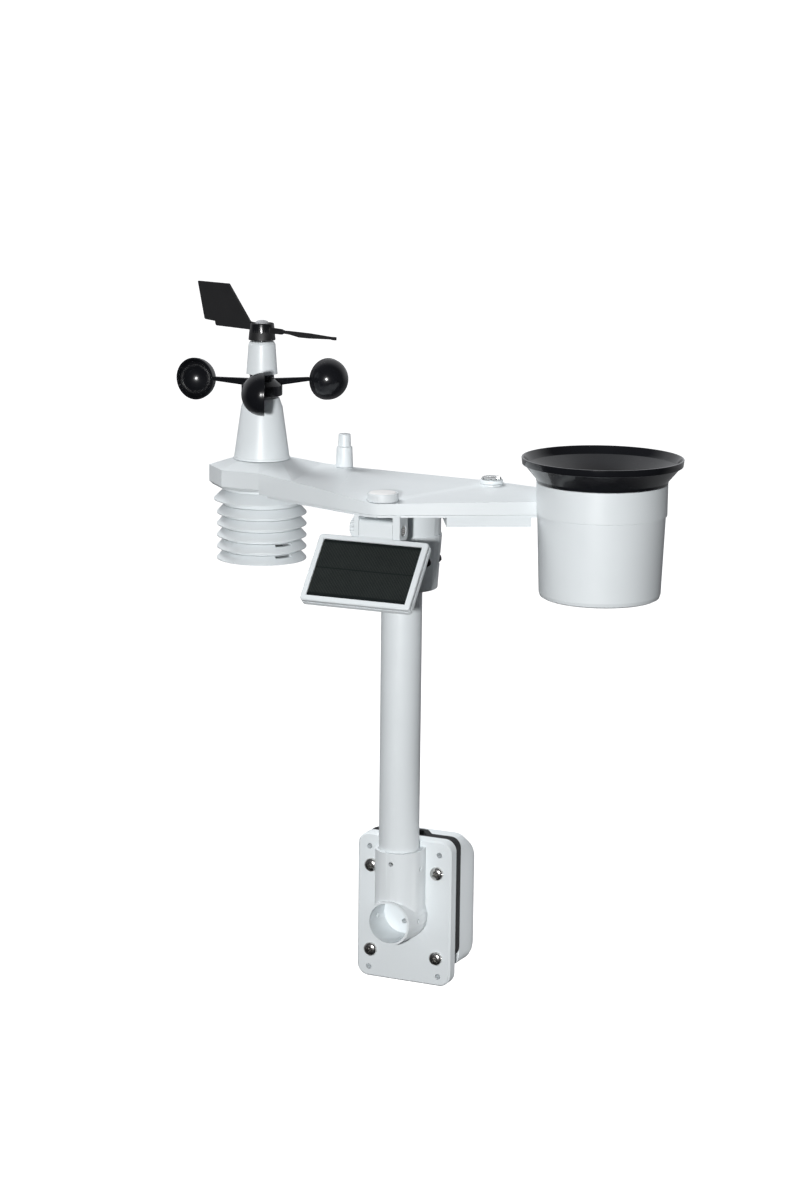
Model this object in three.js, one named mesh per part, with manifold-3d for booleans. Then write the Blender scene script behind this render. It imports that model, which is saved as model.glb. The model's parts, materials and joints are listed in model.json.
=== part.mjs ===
// Home weather station: a sensor head on a short mast, held by a two-plate pole bracket.
// Millimetres, +Z up. The front (solar panel) faces -Y and the rain gauge is at +X.
// Everything is drawn about the mast's axis, with z = 0 level with the bracket bolts' centre,
// and moved at the end so that the origin is the middle of the pole groove in the bracket's
// rubber pad.

import * as THREE from 'three';
import { mergeVertices } from 'three/addons/utils/BufferGeometryUtils.js';
import Module from 'manifold-3d';

const wasm = await Module();
wasm.setup();

// ---------------------------------------------------------------- common sizes

const GAP = 0.3;              // between pieces that touch
const ROUND = 32;             // sides on a large round
const SMALL = 12;             // sides on a small round
const degrees = THREE.MathUtils.degToRad;

// Mast
const MAST_R = 15;
const MAST_WALL = 1.8;
const MAST_BOTTOM = 16.6;
const MAST_TOP = 309;
const MAST_BORE_R = MAST_R + GAP;

// Bracket
const PLATE = { width: 76, bottom: -54.9, top: 57.6, front: 10.3, back: 21.5, corner: 9 };
const BOLT_X = 26.7;
const BOLT_Z = 33.1;
const WALL_HOLE_X = 28.4;
const WALL_HOLE_Z = 47.3;
const UPRIGHT = { r: 17.6, bottom: 2, top: 52.5 };
const MID_HOLE_X = 1.2;         // the two middle holes sit just right of the mast's axis
const PIN_HOLE = { r: 1.75, z: 44.5 };  // through the socket and into the mast
const SPARE = { z: -1, mouth: -18.5, mouthR: 17, rootR: 19.8, floor: 9 };
const PAD = { halfWidth: 37.4, bottom: -36.5, top: 57, corner: 8, boltHoleR: 2.8 };
const STAND_PAD = { front: PLATE.back + GAP, back: 25 };
const POLE_GROOVE = { halfWidth: 9, floor: 24.5 };
const CLAMP = { front: 30.5, shoulder: 42, back: 59 };
const CHANNEL = { halfMouth: 14, halfFloor: 7, depth: 9 };
const BOLT = { shankR: 2.45, headR: 5.2, headHeight: 3.4, end: 70 };
const NUT = { across: 8, thick: 4, pocketR: 5.6, front: 50.2 };

// Arm
const ARM_BOTTOM = 316.5;
const FLOOR = { bottom: 314.5, top: 316.2, inset: 0.6 };
const CAVITY_TOP = 321.8;
const OCTAGON_R = 39;
const EAVE_Z = 332;
const EAVE_FOLD = 319.8;      // below this height the octagon's free sides slope inwards
const SEAT = { r: 22.8, z: 336.8 };

// Rain gauge
const GAUGE_X = 152.6;
const BAND = { r: 46.3, bore: 43.3, bottom: 317.5, top: 339.6 };
const GAUGE = { topR: 45.3, bottomR: 43.2, footR: 40.5, bottom: 257.6, top: 317.2, wall: 2 };
const SPIGOT = { r: 42.9, bore: 41, top: 324 };
const BUCKET_Z = 289.5;
const BUCKET_TILT = degrees(12);

// Wind tower
const TOWER_X = -114.1;
const POST = { r: 4, bottom: 322.5, top: 414 };
const ROTOR = { bottom: 384, shoulder: 391.5, neck: 396, top: 399.4, drumR: 15.1, neckR: 9, boreR: 4.1 };
const CUP = { count: 3, r: 15.5, wall: 1.2, orbit: 56, z: 392.2, firstAngle: 57 };
const VANE = { angle: -21, hubBottom: 424.8, hubTop: 437, hubBottomR: 9.9, hubTopR: 8.8, bladeThick: 2.2 };
const VANE_PIN_R = 2;

// Radiation shield
const LOUVRE = {
  count: 6, pitch: 8.55, lowestTip: 262.3, neckR: 28.4, boreR: 26.4, tipR: 33.3, topTipR: 35.5,
};
const ROD_ORBIT = 22;

// Collar
const COLLAR = { bottom: 251, top: 291.5, bottomR: 26, topR: 28.8, screwX: 24, screwZ: 272.5 };
const BOSS_R = 28;

// Solar panel
const HINGE = { y: -60, z: 304, half: 7, corner: 3.5, screwR: 2 };
const HINGE_NUT = { low: -12, high: -8.8, r: 7.2, teeth: 18 };
const LEFT_EAR = [-8.5, -4.8];
const KNUCKLE = [-4.5, 21.2];
const RIGHT_EAR = [21.5, 27];
const PANEL = { x: 7.6, width: 84, height: 54, thick: 8, drop: 8.7, front: -2.4, tilt: degrees(40) };
const CELL = { width: 75.2, height: 45.6, depth: 1.6 };

// Battery box, laid along the arm's front right edge
const BOX = { x: 53.8, y: -46.1, angle: degrees(27.5), length: 60, depth: 46, bottom: 307, wall: 1.8 };
const BATTERY = { r: 6.9, length: 50, z: 315.5 };

const COLOURS = {
  white: { color: 0xe9ebee, roughness: 0.45, metalness: 0 },
  black: { color: 0x1b1c1f, roughness: 0.35, metalness: 0 },
  rubber: { color: 0x2c2d2f, roughness: 0.9, metalness: 0 },
  grey: { color: 0xa9adb3, roughness: 0.5, metalness: 0 },
  steel: { color: 0xc4c7cb, roughness: 0.2, metalness: 1 },
  darkSteel: { color: 0x2b2c2e, roughness: 0.4, metalness: 0.8 },
  cell: { color: 0x26302f, roughness: 0.25, metalness: 0.1 },
  clear: { color: 0xdfe8e6, roughness: 0.08, metalness: 0 },
  diffuser: { color: 0xf4f5f4, roughness: 0.5, metalness: 0 },
  board: { color: 0x1f5a3a, roughness: 0.6, metalness: 0.1 },
  battery: { color: 0x3a4a63, roughness: 0.4, metalness: 0.3 },
};

// ---------------------------------------------------------------- shape helpers

function signedVolume(geometry) {
  const p = geometry.getAttribute('position');
  const index = geometry.getIndex();
  const [a, b, c] = [new THREE.Vector3(), new THREE.Vector3(), new THREE.Vector3()];
  let sum = 0;
  for (let i = 0; i < index.count; i += 3) {
    a.fromBufferAttribute(p, index.getX(i));
    b.fromBufferAttribute(p, index.getX(i + 1));
    c.fromBufferAttribute(p, index.getX(i + 2));
    sum += a.dot(b.cross(c)) / 6;
  }
  return sum;
}

// Joins a geometry's seams and turns its faces outwards.
function closed(geometry) {
  geometry.deleteAttribute('normal');
  geometry.deleteAttribute('uv');
  const merged = mergeVertices(geometry, 1e-4);
  if (signedVolume(merged) < 0) {
    const index = merged.getIndex().array;
    for (let i = 0; i < index.length; i += 3) {
      [index[i], index[i + 1]] = [index[i + 1], index[i]];
    }
  }
  return merged;
}

function solid(geometry) {
  const g = closed(geometry);
  return new wasm.Manifold(new wasm.Mesh({
    numProp: 3,
    vertProperties: new Float32Array(g.getAttribute('position').array),
    triVerts: new Uint32Array(g.getIndex().array),
  }));
}

function union(...geometries) {
  return geometries.map(solid).reduce((a, b) => a.add(b));
}

function cut(body, ...tools) {
  return tools.map(solid).reduce((a, b) => a.subtract(b), body);
}

function asGeometry(manifold) {
  const mesh = manifold.getMesh();
  const g = new THREE.BufferGeometry();
  g.setAttribute('position', new THREE.BufferAttribute(new Float32Array(mesh.vertProperties), 3));
  g.setIndex(new THREE.BufferAttribute(new Uint32Array(mesh.triVerts), 1));
  return g;
}

// A turned shape about Z, from a loop of [radius, z] points.
function turned(profile, segments = ROUND) {
  const points = profile.map(([r, z]) => new THREE.Vector2(r, z));
  const onAxis = profile[0][0] === 0 && profile.at(-1)[0] === 0;
  if (!onAxis) points.push(points[0].clone());
  return new THREE.LatheGeometry(points, segments).rotateX(Math.PI / 2);
}

// A round bar along Z, X or Y between two heights.
function barZ(r, low, high, segments = SMALL, topR = r) {
  return turned([[0, low], [r, low], [topR, high], [0, high]], segments);
}

function barX(r, low, high, segments = SMALL, topR = r) {
  return barZ(r, low, high, segments, topR).rotateY(Math.PI / 2);
}

function barY(r, low, high, segments = SMALL, topR = r) {
  return barZ(r, low, high, segments, topR).rotateX(-Math.PI / 2);
}

function shapeOf(points) {
  return new THREE.Shape(points.map(([x, y]) => new THREE.Vector2(x, y)));
}

// A plan outline raised between two heights.
function raised(shape, low, high, curveSegments = 8) {
  const settings = { depth: high - low, bevelEnabled: false, curveSegments };
  return new THREE.ExtrudeGeometry(shape, settings).translate(0, 0, low);
}

// A front-view outline (x, z) carried from one y to another, with rounded edges when asked.
function upright(shape, front, back, bevel = 0) {
  const settings = {
    depth: back - front - 2 * bevel,
    bevelEnabled: bevel > 0,
    bevelThickness: bevel,
    bevelSize: bevel,
    bevelOffset: -bevel,
    bevelSegments: 1,
    curveSegments: 4,
  };
  return new THREE.ExtrudeGeometry(shape, settings)
    .rotateX(Math.PI / 2)
    .translate(0, back - bevel, 0);
}

function block(x, y, z) {
  return new THREE.BoxGeometry(x[1] - x[0], y[1] - y[0], z[1] - z[0])
    .translate((x[0] + x[1]) / 2, (y[0] + y[1]) / 2, (z[0] + z[1]) / 2);
}

function faceted(vertices, faces) {
  const g = new THREE.BufferGeometry();
  g.setAttribute('position', new THREE.Float32BufferAttribute(vertices.flat(), 3));
  g.setIndex(faces.flat());
  return g;
}

function roundedRectangle(left, right, bottom, top, r) {
  const s = new THREE.Shape();
  s.moveTo(left + r, bottom);
  s.lineTo(right - r, bottom);
  s.absarc(right - r, bottom + r, r, -Math.PI / 2, 0, false);
  s.lineTo(right, top - r);
  s.absarc(right - r, top - r, r, 0, Math.PI / 2, false);
  s.lineTo(left + r, top);
  s.absarc(left + r, top - r, r, Math.PI / 2, Math.PI, false);
  s.lineTo(left, bottom + r);
  s.absarc(left + r, bottom + r, r, Math.PI, 1.5 * Math.PI, false);
  return s;
}

// A closed skin through convex rings that all have the same number of [x, y, z] points.
function lofted(rings) {
  const n = rings[0].length;
  const last = (rings.length - 1) * n;
  const faces = [];
  for (let start = 0; start < last; start += n) {
    for (let i = 0; i < n; i += 1) {
      const a = start + i;
      const b = start + (i + 1) % n;
      faces.push([a, b, b + n], [a, b + n, a + n]);
    }
  }
  for (let i = 1; i + 1 < n; i += 1) {
    faces.push([0, i + 1, i], [last, last + i, last + i + 1]);
  }
  return faceted(rings.flat(), faces);
}

function hexagon(across) {
  const r = across / Math.sqrt(3);
  const corner = (i) => [r * Math.cos(i * Math.PI / 3), r * Math.sin(i * Math.PI / 3)];
  return shapeOf([0, 1, 2, 3, 4, 5].map(corner));
}

function atTower(geometry) {
  return geometry.translate(TOWER_X, 0, 0);
}

function atGauge(geometry) {
  return geometry.translate(GAUGE_X, 0, 0);
}

const CORNERS = [[-1, 1], [1, 1], [-1, -1], [1, -1]];

// ---------------------------------------------------------------- bracket

// Front plate, upright socket for the mast and the spare socket that faces the front.
function stand() {
  const side = PLATE.width / 2;
  const outline = roundedRectangle(-side, side, PLATE.bottom, PLATE.top, PLATE.corner);
  const plate = upright(outline, PLATE.front, PLATE.back, 1.2);
  const u = new THREE.Shape();
  u.moveTo(UPRIGHT.r, PLATE.front + 2);
  u.lineTo(-UPRIGHT.r, PLATE.front + 2);
  u.lineTo(-UPRIGHT.r, 0);
  u.absarc(0, 0, UPRIGHT.r, Math.PI, 2 * Math.PI, false);
  const socket = raised(u, UPRIGHT.bottom, UPRIGHT.top, 16);
  const spare = barY(SPARE.mouthR, SPARE.mouth, PLATE.front + 2, ROUND, SPARE.rootR)
    .translate(0, 0, SPARE.z);
  const holes = CORNERS.flatMap(([sx, sz]) => [
    barY(2.8, 0, 30).translate(sx * BOLT_X, 0, sz * BOLT_Z),
    barY(2.2, 0, 30).translate(sx * WALL_HOLE_X, 0, sz * WALL_HOLE_Z),
  ]);
  return asGeometry(cut(
    union(plate, socket, spare),
    barZ(MAST_BORE_R, MAST_BOTTOM - GAP, 80, ROUND),
    barY(MAST_BORE_R, -40, SPARE.floor, ROUND).translate(0, 0, SPARE.z),
    barY(PIN_HOLE.r, -30, 0).translate(MID_HOLE_X, 0, PIN_HOLE.z),
    barX(1.75, -30, 30).translate(0, 0, 38),
    barX(1.75, -30, 30).translate(0, -4, SPARE.z),
    barY(2, 0, 30).translate(MID_HOLE_X, 0, -7),
    ...holes,
  ));
}

function padOutline() {
  const { halfWidth, bottom, top, corner } = PAD;
  return roundedRectangle(-halfWidth, halfWidth, bottom, top, corner);
}

// Rubber sheet behind the plate, with a shallow groove where a pole presses.
function standPad() {
  const { front, back } = STAND_PAD;
  const holes = CORNERS.map(([sx, sz]) => (
    barY(PAD.boltHoleR, 10, 30).translate(sx * BOLT_X, 0, sz * BOLT_Z)
  ));
  const wallHoles = [-1, 1].map((s) => barY(2.2, 10, 30).translate(s * WALL_HOLE_X, 0, WALL_HOLE_Z));
  const sheet = upright(padOutline(), front, back);
  const groove = block(
    [-POLE_GROOVE.halfWidth, POLE_GROOVE.halfWidth],
    [POLE_GROOVE.floor, back + 1],
    [PAD.bottom - 1, PAD.top + 1],
  );
  return asGeometry(cut(solid(sheet), ...holes, ...wallHoles, groove));
}

// The clamp's outline at one depth.
function clampRing(y, halfWidth, bottom, top, cornerR) {
  const outline = roundedRectangle(-halfWidth, halfWidth, bottom, top, cornerR);
  return outline.getPoints(4).map((p) => [p.x, y, p.y]);
}

// Rear clamp with a domed back, a channel for the pole and a pocket for each nut.
function clampPlate() {
  const { front, shoulder, back } = CLAMP;
  const { halfMouth, halfFloor, depth } = CHANNEL;
  const body = lofted([
    clampRing(front, 37, -45, 57, 9.5),
    clampRing(shoulder, 37.8, -45, 57, 9.5),
    clampRing(back - 9, 38.3, -45, 51.5, 9.5),
    clampRing(back - 4, 37.8, -44, 48.5, 9.5),
    clampRing(back, 36.8, -42, 45, 9.5),
  ]);
  const channel = raised(shapeOf([
    [-halfMouth - 3, front - 3], [halfMouth + 3, front - 3], [halfMouth, front],
    [halfFloor, front + depth], [-halfFloor, front + depth], [-halfMouth, front],
  ]), -60, 70);
  const holes = CORNERS.flatMap(([sx, sz]) => [
    barY(2.8, 20, 80).translate(sx * BOLT_X, 0, sz * BOLT_Z),
    barY(NUT.pocketR, NUT.front - GAP, 80).translate(sx * BOLT_X, 0, sz * BOLT_Z),
  ]);
  return asGeometry(cut(solid(body), channel, ...holes));
}

// Rubber sheet formed to the clamp's channel.
function clampPad() {
  const half = PAD.halfWidth;
  const back = CLAMP.front - GAP;
  const right = [
    [4.8, 35.2], [11.8, 25.7], [half, 25.7], [half, back], [13.7, back], [6.8, 39.2],
  ];
  const left = right.map(([x, y]) => [-x, y]).reverse();
  const sheet = solid(raised(shapeOf([...right, ...left]), PAD.bottom, PAD.top));
  const holes = CORNERS.map(([sx, sz]) => (
    barY(PAD.boltHoleR, 10, 40).translate(sx * BOLT_X, 0, sz * BOLT_Z)
  ));
  return asGeometry(cut(sheet.intersect(solid(upright(padOutline(), 20, 45))), ...holes));
}

// Cross-head machine screw with its head at the low end of Y.
function crossScrew(headR, headHeight, shankR, length, segments = 16) {
  const head = turned([
    [0, -headHeight], [headR * 0.62, -headHeight], [headR * 0.9, -headHeight * 0.72],
    [headR, -headHeight * 0.35], [headR, 0], [shankR, 0], [shankR, length], [0, length],
  ], segments).rotateX(-Math.PI / 2);
  const slot = headR * 0.62;
  const width = headR * 0.11;
  const depth = -headHeight * 0.45;
  return asGeometry(cut(
    solid(head),
    block([-slot, slot], [-headHeight - 1, depth], [-width, width]),
    block([-width, width], [-headHeight - 1, depth], [-slot, slot]),
  ));
}

function bolt(sx, sz) {
  const length = BOLT.end - PLATE.front + GAP;
  return crossScrew(BOLT.headR, BOLT.headHeight, BOLT.shankR, length)
    .translate(sx * BOLT_X, PLATE.front - GAP, sz * BOLT_Z);
}

function hexNut(across, boreR, low, high) {
  const hex = upright(hexagon(across), low, high);
  return asGeometry(cut(solid(hex), barY(boreR, low - 1, high + 1)));
}

function boltNut(sx, sz) {
  return hexNut(NUT.across, BOLT.shankR + 0.15, NUT.front, NUT.front + NUT.thick)
    .translate(sx * BOLT_X, 0, sz * BOLT_Z);
}

function mast() {
  const inner = MAST_R - MAST_WALL;
  const tube = turned([
    [MAST_R, MAST_BOTTOM], [MAST_R, MAST_TOP], [inner, MAST_TOP], [inner, MAST_BOTTOM],
  ]);
  return asGeometry(cut(solid(tube), barY(PIN_HOLE.r, -30, 0).translate(MID_HOLE_X, 0, PIN_HOLE.z)));
}

// ---------------------------------------------------------------- arm shells

function octagonPoint(angle, r, z) {
  const a = degrees(angle);
  return [TOWER_X + r * Math.cos(a), r * Math.sin(a), z];
}

// The arm's upper rim, anticlockwise from above: [x, y, z of the top edge].
const RIM = [
  octagonPoint(67.5, OCTAGON_R, EAVE_Z),
  octagonPoint(112.5, OCTAGON_R, EAVE_Z),
  octagonPoint(157.5, OCTAGON_R, EAVE_Z),
  octagonPoint(202.5, OCTAGON_R, EAVE_Z),
  octagonPoint(247.5, OCTAGON_R, EAVE_Z),
  octagonPoint(292.5, OCTAGON_R, EAVE_Z),
  [-66, -48.4, 330.4],
  [-27, -62.9, 328],
  [4.7, -74.3, 324.7],
  [13, -73.8, 324.4],
  [117, -19.6, 326],
  [117, 21, 327.6],
  [60, 28, 329.2],
  [-50, 30, 330.6],
  [-80, 33, 331.4],
];

// Faceted arm and octagon as one closed block, rising to the flat seat under the wind tower.
function armBlock() {
  const n = RIM.length;
  const seat = [67.5, 112.5, 157.5, 202.5, 247.5, 292.5, 337.5, 22.5]
    .map((a) => octagonPoint(a, SEAT.r, SEAT.z));
  const vertices = [
    ...RIM,
    ...seat,
    ...RIM.map(([x, y]) => [x, y, ARM_BOTTOM]),
  ];
  const s = n;
  const low = n + seat.length;
  const faces = [];
  for (let i = 0; i < 5; i += 1) {
    faces.push([i, i + 1, s + i + 1], [i, s + i + 1, s + i]);
  }
  faces.push([5, 6, s + 6], [5, s + 6, s + 5]);
  faces.push([6, n - 1, s + 7], [6, s + 7, s + 6]);
  faces.push([n - 1, 0, s], [n - 1, s, s + 7]);
  for (let i = 1; i < 7; i += 1) {
    faces.push([s, s + i, s + i + 1]);
  }
  faces.push([6, 7, 13], [6, 13, 14], [7, 8, 12], [7, 12, 13], [8, 9, 12], [9, 10, 12], [10, 11, 12]);
  for (let i = 0; i < n; i += 1) {
    const j = (i + 1) % n;
    faces.push([i, low + i, low + j], [i, low + j, j]);
  }
  const base = THREE.ShapeUtils.triangulateShape(RIM.map(([x, y]) => new THREE.Vector2(x, y)), []);
  base.forEach(([a, b, c]) => faces.push([low + a, low + c, low + b]));
  return faceted(vertices, faces);
}

// What is planed off under the octagon's free edges.
function eaveCutter() {
  const low = ARM_BOTTOM - 2;
  const slope = 3.5 / 3.3;
  const wedge = turned([
    [OCTAGON_R + 8, low], [OCTAGON_R + 8, EAVE_FOLD], [OCTAGON_R, EAVE_FOLD],
    [OCTAGON_R - slope * (EAVE_FOLD - low), low],
  ], 8).rotateZ(Math.PI / 8);
  return asGeometry(cut(solid(atTower(wedge)), block([-98.6, 0], [-60, 60], [300, 340])));
}

// The arm's outline moved inwards by a distance.
function insetOutline(distance) {
  const points = RIM.map(([x, y]) => new THREE.Vector2(x, y));
  return points.map((p, i) => {
    const before = points.at(i - 1);
    const after = points[(i + 1) % points.length];
    const u = p.clone().sub(before).normalize();
    const v = after.clone().sub(p).normalize();
    const inward = new THREE.Vector2(-u.y - v.y, u.x + v.x).normalize();
    const stretch = 1 / Math.max(0.5, inward.dot(new THREE.Vector2(-u.y, u.x)));
    return [p.x + inward.x * distance * stretch, p.y + inward.y * distance * stretch];
  });
}

// A rectangle in the battery box's own frame, as a plan shape.
function boxPlan(from, to, inner, outer) {
  const c = Math.cos(BOX.angle);
  const s = Math.sin(BOX.angle);
  return shapeOf([[from, inner], [to, inner], [to, outer], [from, outer]].map(
    ([a, b]) => [BOX.x + a * c - b * s, BOX.y + a * s + b * c],
  ));
}

const UV = { x: 11.5, y: -62, r: 11.2, seat: 324.6, top: 330.8 };
const LEVEL = { x: 62, y: 17, r: 8.4, seat: 329.2 };
const ANTENNA = { x: -58, y: 24, seat: 331.2 };

function upperShell() {
  const band = atGauge(barZ(BAND.r, BAND.bottom, BAND.top, 40));
  const seats = [
    barZ(LEVEL.r, 320, LEVEL.seat, 28).translate(LEVEL.x, LEVEL.y, 0),
    barZ(6.9, 320, ANTENNA.seat).translate(ANTENNA.x, ANTENNA.y, 0),
  ];
  const hollow = insetOutline(2.4).map(([x, y]) => [Math.min(x, 103), y]);
  const batteries = boxPlan(BOX.wall, BOX.length - BOX.wall, BOX.wall, BOX.depth - BOX.wall);
  return asGeometry(cut(
    union(armBlock(), band, ...seats),
    eaveCutter(),
    raised(shapeOf(hollow), ARM_BOTTOM - 3, CAVITY_TOP),
    raised(batteries, ARM_BOTTOM - 3, 322.8),
    atGauge(barZ(BAND.bore, BAND.bottom - 5, BAND.top + 5, 40)),
    atGauge(barZ(GAUGE.topR + 0.5, ARM_BOTTOM - 3, BAND.bottom, 40)),
    atTower(barZ(15, ARM_BOTTOM - 3, SEAT.z - 2.4, 32)),
    atTower(barZ(POST.r + 0.2, 330, 345)),
    barZ(UV.r + GAP, UV.seat, 345, 28).translate(UV.x, UV.y, 0),
  ));
}

// A bar of rounded square section along X, centred on the hinge's axis.
function hingeBar([low, high]) {
  const { half, corner } = HINGE;
  return raised(roundedRectangle(-half, half, -half, half, corner), low, high, 5).rotateY(Math.PI / 2);
}

function ear(span) {
  const { y, z, half } = HINGE;
  const strap = block(span, [y - half, y + half], [z, FLOOR.bottom + 1]);
  return [hingeBar(span).translate(0, y, z), strap];
}

// Half of the collar: side is -1 for the front half and 1 for the rear half.
function collarHalf(side, top) {
  const ring = solid(turned([
    [0, COLLAR.bottom], [COLLAR.bottomR, COLLAR.bottom], [COLLAR.topR, top], [0, top],
  ]));
  const across = side < 0 ? [-40, -GAP / 2] : [GAP / 2, 40];
  const keep = block([-40, 40], across, [240, 320]);
  const screws = [-1, 1].flatMap((s) => [
    barY(1.9, -40, 40).translate(s * COLLAR.screwX, 0, COLLAR.screwZ),
    barY(3.4, -40, -9.3).translate(s * COLLAR.screwX, 0, COLLAR.screwZ),
    barY(4.1, 6.4, 40).translate(s * COLLAR.screwX, 0, COLLAR.screwZ),
  ]);
  return cut(ring.intersect(solid(keep)), ...screws);
}

// Arm floor with the battery box, the mast boss, the front half of the collar and the panel's ears.
function lowerShell() {
  const outline = insetOutline(FLOOR.inset).map(([x, y]) => [Math.max(x, -92), y]);
  const sheet = raised(shapeOf(outline), FLOOR.bottom, FLOOR.top);
  const shieldTop = atTower(barZ(29, FLOOR.bottom, FLOOR.top, ROUND));
  const box = raised(boxPlan(0, BOX.length, 0, BOX.depth), BOX.bottom, FLOOR.top);
  const boxInside = boxPlan(BOX.wall, BOX.length - BOX.wall, BOX.wall, BOX.depth - BOX.wall);
  const boss = barZ(BOSS_R, COLLAR.top - 0.5, FLOOR.top, ROUND);
  const bosses = union(sheet, shieldTop, box, boss, ...ear(LEFT_EAR), ...ear(RIGHT_EAR));
  const hollowed = cut(
    bosses,
    raised(boxInside, BOX.bottom - 3, FLOOR.top + 3),
    atGauge(barZ(GAUGE.topR + 0.5, 300, 330, ROUND)),
    atTower(barZ(ROD_ORBIT - 8, 300, 330, 32)),
    ...[-1, 1].map((s) => atTower(barZ(1.6, 300, 330, 12).translate(0, s * ROD_ORBIT, 0))),
    barX(HINGE.screwR + 0.25, -30, 40).translate(0, HINGE.y, HINGE.z),
    barX(4.4, RIGHT_EAR[1] - 2.5, 40).translate(0, HINGE.y, HINGE.z),
    barZ(2.7, 310, 320).translate(-40, -20, 0),
  );
  const joined = hollowed.add(collarHalf(-1, COLLAR.top));
  return asGeometry(cut(joined, barZ(MAST_BORE_R, 240, MAST_TOP + GAP, ROUND)));
}

function collarRear() {
  return asGeometry(cut(collarHalf(1, COLLAR.top - 0.8), barZ(MAST_BORE_R, 240, MAST_TOP, ROUND)));
}

function collarScrew(s) {
  return crossScrew(2.9, 2.2, 1.5, 21.5, 16).translate(s * COLLAR.screwX, -9.6, COLLAR.screwZ);
}

function collarNut(s) {
  return hexNut(6.2, 1.65, 6.8, 9.4).translate(s * COLLAR.screwX, 0, COLLAR.screwZ);
}

function batteryDoor() {
  const play = BOX.wall + 0.4;
  const lid = boxPlan(play, BOX.length - play, play, BOX.depth - play);
  return closed(raised(lid, BOX.bottom, BOX.bottom + 1.3));
}

function battery(i) {
  const across = BOX.depth / 2 + (i - 1) * (2 * BATTERY.r + 0.4);
  const half = BATTERY.length / 2;
  const turn = [
    [0, -half], [BATTERY.r, -half], [BATTERY.r, half - 1.6], [2.6, half - 1.6], [2.6, half], [0, half],
  ];
  return closed(turned(turn, 16).rotateY(Math.PI / 2))
    .translate(BOX.length / 2, across, BATTERY.z)
    .rotateZ(BOX.angle)
    .translate(BOX.x, BOX.y, 0);
}

function resetButton() {
  return closed(barZ(2.4, 313.5, 316.4).translate(-40, -20, 0));
}

function mainBoard() {
  return closed(block([-62, 26], [-30, 14], [317.3, 318.9]));
}

// ---------------------------------------------------------------- small parts on the arm

function antenna() {
  const z = ANTENNA.seat + GAP;
  return closed(turned([
    [0, z], [6.5, z], [5.8, z + 15], [4.7, z + 15.3], [4.5, z + 24], [3.9, z + 24.6], [0, z + 24.6],
  ], 28)).translate(ANTENNA.x, ANTENNA.y, 0);
}

function uvHousing() {
  const z = UV.seat + GAP;
  return closed(turned([
    [0, z], [UV.r - 0.3, z], [UV.r, z + 0.4], [UV.r, UV.top - 0.5], [UV.r - 0.5, UV.top],
    [9.9, UV.top], [9.9, UV.top - 1.6], [0, UV.top - 1.6],
  ], 32)).translate(UV.x, UV.y, 0);
}

function uvDiffuser() {
  return closed(turned([
    [0, UV.top - 1.3], [9.6, UV.top - 1.3], [9.6, UV.top], [8.8, UV.top + 0.4], [0, UV.top + 0.5],
  ], 32)).translate(UV.x, UV.y, 0);
}

function levelHousing() {
  const z = LEVEL.seat + GAP;
  return closed(turned([
    [0, z], [LEVEL.r, z], [LEVEL.r, z + 2.6], [7.5, z + 3], [7.5, z + 0.9], [0, z + 0.9],
  ], 24)).translate(LEVEL.x, LEVEL.y, 0);
}

function levelVial() {
  const z = LEVEL.seat + GAP + 1.2;
  return closed(turned([[0, z], [7.2, z], [7.2, z + 2.8], [6.4, z + 3.7], [0, z + 4]], 24))
    .translate(LEVEL.x, LEVEL.y, 0);
}

// ---------------------------------------------------------------- wind tower

function lowerCone() {
  const z = SEAT.z + GAP;
  return closed(atTower(turned([
    [21, z], [20.8, z + 1.4], [20.4, z + 2], [15.3, 375.5], [12.8, 382.3], [POST.r + 0.15, 382.3],
    [POST.r + 0.15, 378.5], [11, 378.5], [13.3, 374.8], [18.6, z],
  ], 28)));
}

function towerPost() {
  return closed(atTower(barZ(POST.r, POST.bottom, POST.top, 20)));
}

function rotorArm(angle) {
  const end = CUP.orbit - CUP.r + 0.2;
  const shape = shapeOf([[6, -3.2], [end, -1.2], [end, 1.6], [6, 2.8]]);
  return upright(shape, -1.5, 1.5)
    .translate(0, 0, 393.2)
    .rotateZ(degrees(angle));
}

function rotorHub() {
  const { bottom, shoulder, neck, top, drumR, neckR, boreR } = ROTOR;
  const drum = turned([
    [0, bottom], [drumR - 0.5, bottom], [drumR, bottom + 0.5], [drumR, shoulder], [neckR, neck],
    [neckR, top - 0.4], [neckR - 0.4, top], [0, top],
  ], 30);
  const arms = [0, 1, 2].map((i) => rotorArm(CUP.firstAngle + 120 * i));
  const whole = union(drum, ...arms);
  return asGeometry(cut(whole, barZ(boreR, bottom - 5, top + 5, 20))).translate(TOWER_X, 0, 0);
}

// Hemispherical cup on the end of an arm. The rotor turns with the round backs leading.
function cup(i) {
  const steps = 5;
  const outer = [];
  const inner = [];
  for (let k = 0; k <= steps; k += 1) {
    const a = (k / steps) * Math.PI / 2;
    outer.push([CUP.r * Math.sin(a), -CUP.r * Math.cos(a)]);
    inner.push([(CUP.r - CUP.wall) * Math.sin(a), -(CUP.r - CUP.wall) * Math.cos(a)]);
  }
  outer[0][0] = 0;
  inner[0][0] = 0;
  const lip = [[CUP.r + 0.5, 0], [CUP.r + 0.5, 1], [CUP.r - CUP.wall, 1]];
  const bowl = turned([...outer, ...lip, ...inner.reverse()], 20);
  return closed(bowl)
    .rotateX(-Math.PI / 2)
    .translate(CUP.orbit + GAP + 0.6, 0, CUP.z)
    .rotateZ(degrees(CUP.firstAngle + 120 * i))
    .translate(TOWER_X, 0, 0);
}

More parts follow.
